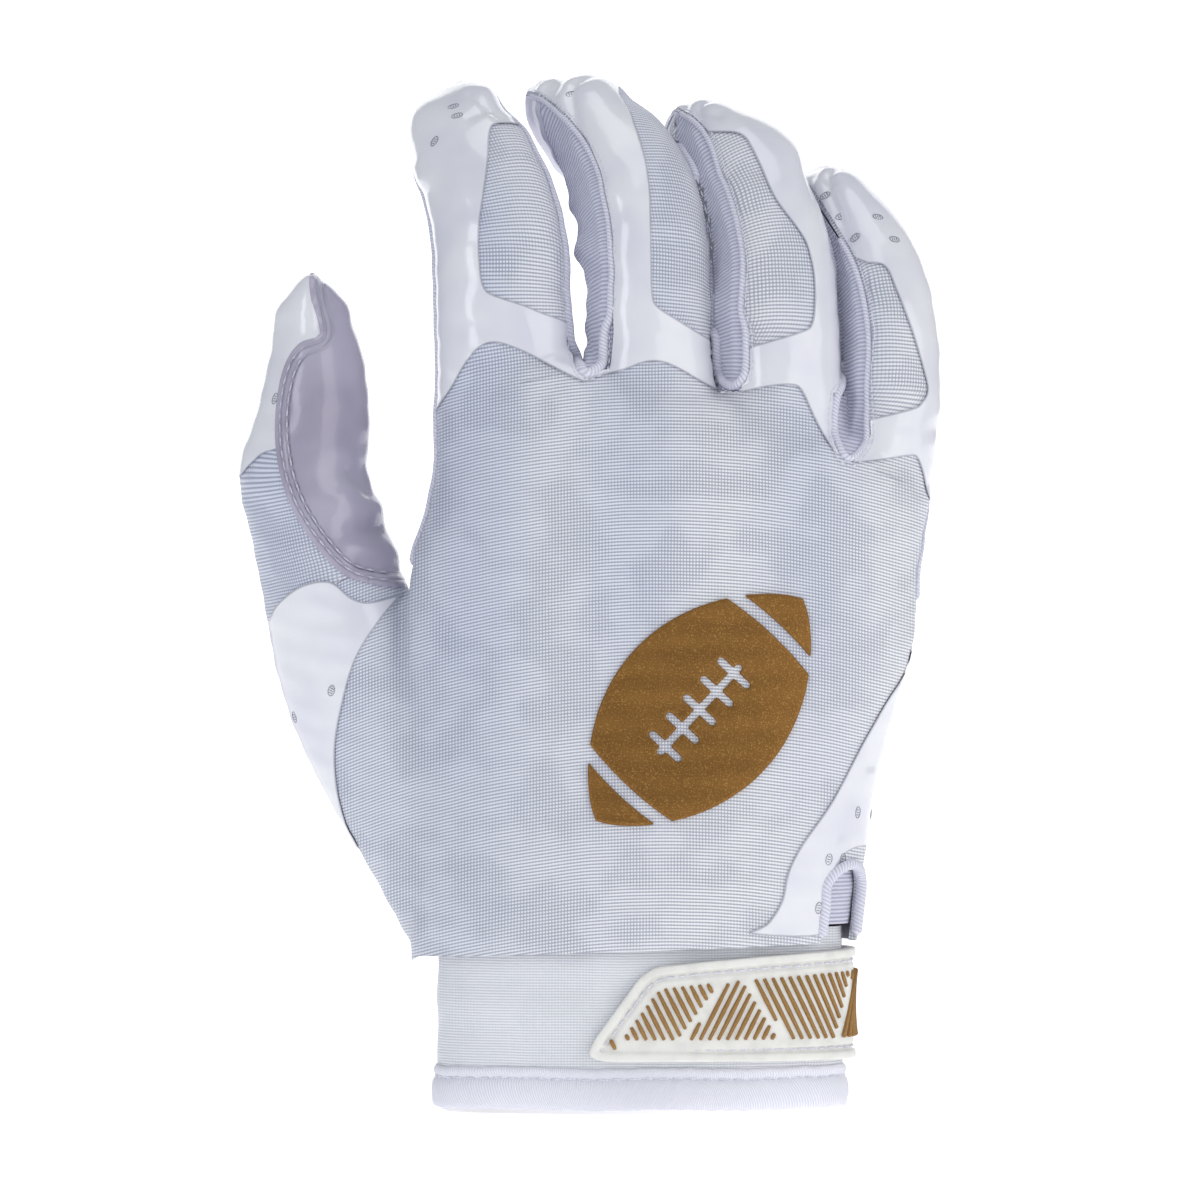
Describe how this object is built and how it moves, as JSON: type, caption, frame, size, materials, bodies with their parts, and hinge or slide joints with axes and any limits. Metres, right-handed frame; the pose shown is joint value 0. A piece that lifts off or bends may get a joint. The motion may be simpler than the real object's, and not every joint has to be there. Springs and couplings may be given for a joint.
{
  "type": "football receiver glove",
  "caption": "Right-hand knit and grip-palm receiver glove in its worn form, with bound finger seams, gloss finger overlays and a wrap-round wrist tab.",
  "frame": {"origin": "centre of the hand opening, in the plane of the hem's lower edge", "axes": "+Z towards the fingertips, -Y out of the back of the hand, +X towards the little finger"},
  "size_m": [0.1406, 0.06, 0.2066],
  "materials": {
    "knit": "fine ribbed knit, soft sheen",
    "rib_knit": "ribbed stretch knit",
    "grip": "tacky synthetic palm, satin",
    "thumb_grip": "tacky synthetic palm, gloss",
    "film": "gloss film",
    "binding": "stretch binding over cord",
    "hem": "folded satin knit",
    "moulded_tab": "moulded, satin",
    "gold_print": "metallic gold transfer, satin"
  },
  "bodies": {
    "root": {"hand_back": "knit", "palm_shell": "grip", "fourchette_index_middle": "rib_knit", "fourchette_middle_ring": "rib_knit", "fourchette_ring_pinky": "rib_knit", "thumb_back": "knit", "thumb_palm": "thumb_grip", "overlay_index": "film", "overlay_middle": "film", "overlay_ring": "film", "overlay_pinky": "film", "overlay_thumb": "film", "overlay_thumb_base": "film", "overlay_heel": "film", "piping_index_outer": "binding", "piping_index_middle": "binding", "piping_middle_ring": "binding", "piping_ring_pinky": "binding", "piping_pinky_outer": "binding", "vent_binding": "binding", "cuff_band": "knit", "cuff_hem": "hem", "closure_tab": "moulded_tab", "hand_emblem": "gold_print"}
  },
  "joints": []
}
